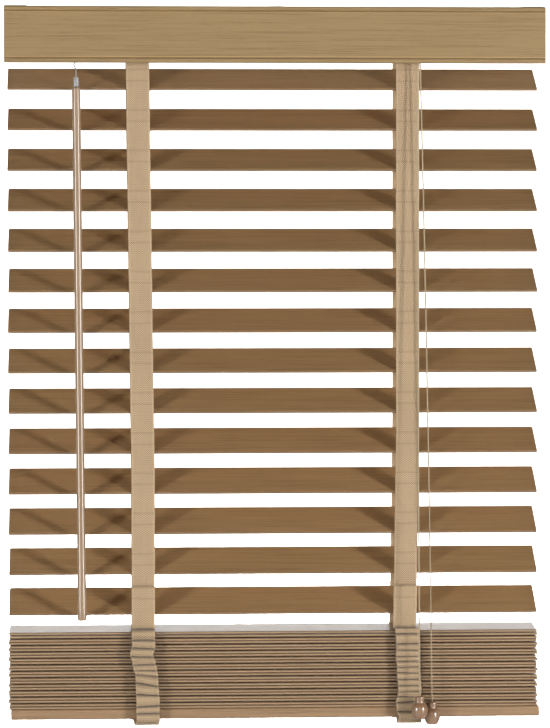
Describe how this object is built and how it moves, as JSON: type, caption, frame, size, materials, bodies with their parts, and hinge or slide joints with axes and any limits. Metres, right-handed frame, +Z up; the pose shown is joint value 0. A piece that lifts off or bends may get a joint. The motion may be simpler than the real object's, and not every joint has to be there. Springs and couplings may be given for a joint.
{
  "type": "venetian blind",
  "caption": "Wooden venetian blind part raised: cloth ladder tapes, valance, tilt wand on the left, lift cords with turned tassels on the right.",
  "frame": {"origin": "centre of the four screw holes in the tops of the two brackets, on the plane that meets the window head", "axes": "+Z up, +X to the viewer's right along the headrail, +Y from the room towards the window; the valance faces -Y"},
  "size_m": [0.6, 0.0945, 0.8006],
  "materials": {
    "slat_wood": "stained hardwood under a satin lacquer",
    "rail_wood": "stained hardwood under a satin lacquer",
    "valance_wood": "straight-grained oak colour, satin lacquer",
    "gloss_wood": "turned and gloss lacquered",
    "tassel_wood": "turned and gloss lacquered",
    "tape_cloth": "woven cotton ladder tape with a herringbone face",
    "cord_braid": "fine braided polyester",
    "painted_steel": "cream baked enamel",
    "zinc_steel": "zinc plated",
    "brass_roller": "turned and knurled",
    "white_plastic": "moulded acetal",
    "plug_plastic": "moulded, brown",
    "clear_plastic": "clear moulded"
  },
  "bodies": {
    "frame": {"headrail": "painted_steel", "cradle_left": "white_plastic", "cradle_right": "white_plastic", "tilter_case": "white_plastic", "lock_frame": "zinc_steel", "cord_guide": "zinc_steel", "bracket_left": "painted_steel", "bracket_right": "painted_steel", "valance": "valance_wood", "valance_clips": "clear_plastic", "rungs_01": "tape_cloth", "lift_cords": "cord_braid", "pull_cord_left": "cord_braid", "pull_cord_right": "cord_braid"},
    "tilt_rod": {"tilt_rod": "zinc_steel", "drums": "white_plastic", "worm_wheel": "white_plastic"},
    "worm": {"tilter_worm": "zinc_steel"},
    "wand": {"wand_hook": "zinc_steel", "wand_ferrule": "clear_plastic", "wand": "gloss_wood"},
    "front_tapes": {"front_tapes": "tape_cloth"},
    "rear_tapes": {"rear_tapes": "tape_cloth"},
    "stack": {"stacked_slats": "slat_wood", "bottom_rail": "rail_wood", "tape_plugs": "plug_plastic", "gathered_tapes": "tape_cloth"},
    "pull": {"tassel_left": "tassel_wood", "tassel_right": "tassel_wood"},
    "lock_pulley": {"lock_pulley": "brass_roller"},
    "lock_roller": {"lock_roller": "brass_roller"},
    "gate_left": {"gate_left": "painted_steel"},
    "gate_right": {"gate_right": "painted_steel"},
    "slat_01": {"slat_01": "slat_wood"},
    "slat_02": {"slat_02": "slat_wood"},
    "slat_03": {"slat_03": "slat_wood"},
    "slat_04": {"slat_04": "slat_wood"},
    "slat_05": {"slat_05": "slat_wood"},
    "slat_06": {"slat_06": "slat_wood"},
    "slat_07": {"slat_07": "slat_wood"},
    "slat_08": {"slat_08": "slat_wood"},
    "slat_09": {"slat_09": "slat_wood"},
    "slat_10": {"slat_10": "slat_wood"},
    "slat_11": {"slat_11": "slat_wood"},
    "slat_12": {"slat_12": "slat_wood"},
    "slat_13": {"slat_13": "slat_wood"},
    "slat_14": {"slat_14": "slat_wood"},
    "rungs_02": {"rungs_02": "tape_cloth"},
    "rungs_03": {"rungs_03": "tape_cloth"},
    "rungs_04": {"rungs_04": "tape_cloth"},
    "rungs_05": {"rungs_05": "tape_cloth"},
    "rungs_06": {"rungs_06": "tape_cloth"},
    "rungs_07": {"rungs_07": "tape_cloth"},
    "rungs_08": {"rungs_08": "tape_cloth"},
    "rungs_09": {"rungs_09": "tape_cloth"},
    "rungs_10": {"rungs_10": "tape_cloth"},
    "rungs_11": {"rungs_11": "tape_cloth"},
    "rungs_12": {"rungs_12": "tape_cloth"},
    "rungs_13": {"rungs_13": "tape_cloth"},
    "rungs_14": {"rungs_14": "tape_cloth"}
  },
  "joints": [
    {"name": "tilt", "type": "hinge", "parent": "frame", "child": "tilt_rod", "pos_m": [0, 0, -0.026], "axis": [1, 0, 0], "range_deg": [-101, 42], "deforming": ["rungs_01", "rungs_02", "rungs_03", "rungs_04", "rungs_05", "rungs_06", "rungs_07", "rungs_08", "rungs_09", "rungs_10", "rungs_11", "rungs_12", "rungs_13", "rungs_14", "front_tapes", "rear_tapes"]},
    {"name": "front_tape_swing", "type": "hinge", "parent": "tilt_rod", "child": "front_tapes", "pos_m": [0, -0.02045, -0.03757], "axis": [1, 0, 0], "range_deg": [-42, 101]},
    {"name": "rear_tape_swing", "type": "hinge", "parent": "tilt_rod", "child": "rear_tapes", "pos_m": [0, 0.02045, -0.01443], "axis": [1, 0, 0], "range_deg": [-42, 101]},
    {"name": "worm_turn", "type": "hinge", "parent": "frame", "child": "worm", "pos_m": [-0.2211, -0.03325, -0.044], "axis": [0, -0.7071, -0.7071], "range_deg": [-1212, 504]},
    {"name": "wand_turn", "type": "hinge", "parent": "frame", "child": "wand", "pos_m": [-0.2211, -0.03325, -0.044], "axis": [0.0086, -0.0059, -0.9999], "range_deg": [-1212, 504]},
    {"name": "lift", "type": "slide", "parent": "frame", "child": "stack", "axis": [0, 0, 1], "range_m": [0, 0.405], "deforming": ["lift_cords", "front_tapes", "rear_tapes"]},
    {"name": "pull", "type": "slide", "parent": "frame", "child": "pull", "axis": [0, 0, 1], "range_m": [-0.405, 0], "deforming": ["pull_cord_left", "pull_cord_right"]},
    {"name": "lock_pulley_turn", "type": "hinge", "parent": "frame", "child": "lock_pulley", "pos_m": [0.1695, -0.00455, -0.038], "axis": [0, 0, 1], "range_deg": [-6190, 0]},
    {"name": "lock_release", "type": "slide", "parent": "frame", "child": "lock_roller", "axis": [1, 0, 0], "range_m": [0, 0.004]},
    {"name": "gate_left_drop", "type": "slide", "parent": "frame", "child": "gate_left", "axis": [0, 0, 1], "range_m": [-0.047, 0]},
    {"name": "gate_right_drop", "type": "slide", "parent": "frame", "child": "gate_right", "axis": [0, 0, 1], "range_m": [-0.047, 0]},
    {"name": "slat_01_tilt", "type": "hinge", "parent": "frame", "child": "slat_01", "pos_m": [-0.0015, 0, -0.0803], "axis": [1, 0, 0], "range_deg": [-101, 42]},
    {"name": "gather_02", "type": "slide", "parent": "frame", "child": "rungs_02", "axis": [0, 0, 1], "range_m": [0, 0.031]},
    {"name": "slat_02_tilt", "type": "hinge", "parent": "rungs_02", "child": "slat_02", "pos_m": [-0.0015, 0, -0.1252], "axis": [1, 0, 0], "range_deg": [-101, 42]},
    {"name": "gather_03", "type": "slide", "parent": "frame", "child": "rungs_03", "axis": [0, 0, 1], "range_m": [0, 0.062]},
    {"name": "slat_03_tilt", "type": "hinge", "parent": "rungs_03", "child": "slat_03", "pos_m": [-0.0015, 0, -0.1701], "axis": [1, 0, 0], "range_deg": [-101, 42]},
    {"name": "gather_04", "type": "slide", "parent": "frame", "child": "rungs_04", "axis": [0, 0, 1], "range_m": [0, 0.093]},
    {"name": "slat_04_tilt", "type": "hinge", "parent": "rungs_04", "child": "slat_04", "pos_m": [-0.0015, 0, -0.215], "axis": [1, 0, 0], "range_deg": [-101, 42]},
    {"name": "gather_05", "type": "slide", "parent": "frame", "child": "rungs_05", "axis": [0, 0, 1], "range_m": [0, 0.124]},
    {"name": "slat_05_tilt", "type": "hinge", "parent": "rungs_05", "child": "slat_05", "pos_m": [-0.0015, 0, -0.2599], "axis": [1, 0, 0], "range_deg": [-101, 42]},
    {"name": "gather_06", "type": "slide", "parent": "frame", "child": "rungs_06", "axis": [0, 0, 1], "range_m": [0, 0.155]},
    {"name": "slat_06_tilt", "type": "hinge", "parent": "rungs_06", "child": "slat_06", "pos_m": [-0.0015, 0, -0.3048], "axis": [1, 0, 0], "range_deg": [-101, 42]},
    {"name": "gather_07", "type": "slide", "parent": "frame", "child": "rungs_07", "axis": [0, 0, 1], "range_m": [0, 0.186]},
    {"name": "slat_07_tilt", "type": "hinge", "parent": "rungs_07", "child": "slat_07", "pos_m": [-0.0015, 0, -0.3497], "axis": [1, 0, 0], "range_deg": [-101, 42]},
    {"name": "gather_08", "type": "slide", "parent": "frame", "child": "rungs_08", "axis": [0, 0, 1], "range_m": [0, 0.217]},
    {"name": "slat_08_tilt", "type": "hinge", "parent": "rungs_08", "child": "slat_08", "pos_m": [-0.0015, 0, -0.3946], "axis": [1, 0, 0], "range_deg": [-101, 42]},
    {"name": "gather_09", "type": "slide", "parent": "frame", "child": "rungs_09", "axis": [0, 0, 1], "range_m": [0, 0.248]},
    {"name": "slat_09_tilt", "type": "hinge", "parent": "rungs_09", "child": "slat_09", "pos_m": [-0.0015, 0, -0.4395], "axis": [1, 0, 0], "range_deg": [-101, 42]},
    {"name": "gather_10", "type": "slide", "parent": "frame", "child": "rungs_10", "axis": [0, 0, 1], "range_m": [0, 0.279]},
    {"name": "slat_10_tilt", "type": "hinge", "parent": "rungs_10", "child": "slat_10", "pos_m": [-0.0015, 0, -0.4844], "axis": [1, 0, 0], "range_deg": [-101, 42]},
    {"name": "gather_11", "type": "slide", "parent": "frame", "child": "rungs_11", "axis": [0, 0, 1], "range_m": [0, 0.31]},
    {"name": "slat_11_tilt", "type": "hinge", "parent": "rungs_11", "child": "slat_11", "pos_m": [-0.0015, 0, -0.5293], "axis": [1, 0, 0], "range_deg": [-101, 42]},
    {"name": "gather_12", "type": "slide", "parent": "frame", "child": "rungs_12", "axis": [0, 0, 1], "range_m": [0, 0.341]},
    {"name": "slat_12_tilt", "type": "hinge", "parent": "rungs_12", "child": "slat_12", "pos_m": [-0.0015, 0, -0.5742], "axis": [1, 0, 0], "range_deg": [-101, 42]},
    {"name": "gather_13", "type": "slide", "parent": "frame", "child": "rungs_13", "axis": [0, 0, 1], "range_m": [0, 0.372]},
    {"name": "slat_13_tilt", "type": "hinge", "parent": "rungs_13", "child": "slat_13", "pos_m": [-0.0015, 0, -0.6191], "axis": [1, 0, 0], "range_deg": [-101, 42]},
    {"name": "gather_14", "type": "slide", "parent": "frame", "child": "rungs_14", "axis": [0, 0, 1], "range_m": [0, 0.403]},
    {"name": "slat_14_tilt", "type": "hinge", "parent": "rungs_14", "child": "slat_14", "pos_m": [-0.0015, 0, -0.664], "axis": [1, 0, 0], "range_deg": [-101, 42]}
  ],
  "couplings": [
    {"joint": "front_tape_swing", "follows": "tilt", "ratio": -1},
    {"joint": "rear_tape_swing", "follows": "tilt", "ratio": -1},
    {"joint": "worm_turn", "follows": "tilt", "ratio": 12},
    {"joint": "wand_turn", "follows": "tilt", "ratio": 12},
    {"joint": "pull", "follows": "lift", "ratio": -1},
    {"joint": "lock_pulley_turn", "follows": "lift", "rad_per_m": -266.67},
    {"joint": "slat_01_tilt", "follows": "tilt", "ratio": 1},
    {"joint": "gather_02", "follows": "lift", "ratio": 0.076543},
    {"joint": "slat_02_tilt", "follows": "tilt", "ratio": 1},
    {"joint": "gather_03", "follows": "lift", "ratio": 0.15309},
    {"joint": "slat_03_tilt", "follows": "tilt", "ratio": 1},
    {"joint": "gather_04", "follows": "lift", "ratio": 0.22963},
    {"joint": "slat_04_tilt", "follows": "tilt", "ratio": 1},
    {"joint": "gather_05", "follows": "lift", "ratio": 0.30617},
    {"joint": "slat_05_tilt", "follows": "tilt", "ratio": 1},
    {"joint": "gather_06", "follows": "lift", "ratio": 0.38272},
    {"joint": "slat_06_tilt", "follows": "tilt", "ratio": 1},
    {"joint": "gather_07", "follows": "lift", "ratio": 0.45926},
    {"joint": "slat_07_tilt", "follows": "tilt", "ratio": 1},
    {"joint": "gather_08", "follows": "lift", "ratio": 0.5358},
    {"joint": "slat_08_tilt", "follows": "tilt", "ratio": 1},
    {"joint": "gather_09", "follows": "lift", "ratio": 0.61235},
    {"joint": "slat_09_tilt", "follows": "tilt", "ratio": 1},
    {"joint": "gather_10", "follows": "lift", "ratio": 0.68889},
    {"joint": "slat_10_tilt", "follows": "tilt", "ratio": 1},
    {"joint": "gather_11", "follows": "lift", "ratio": 0.76543},
    {"joint": "slat_11_tilt", "follows": "tilt", "ratio": 1},
    {"joint": "gather_12", "follows": "lift", "ratio": 0.84198},
    {"joint": "slat_12_tilt", "follows": "tilt", "ratio": 1},
    {"joint": "gather_13", "follows": "lift", "ratio": 0.91852},
    {"joint": "slat_13_tilt", "follows": "tilt", "ratio": 1},
    {"joint": "gather_14", "follows": "lift", "ratio": 0.99506},
    {"joint": "slat_14_tilt", "follows": "tilt", "ratio": 1}
  ]
}
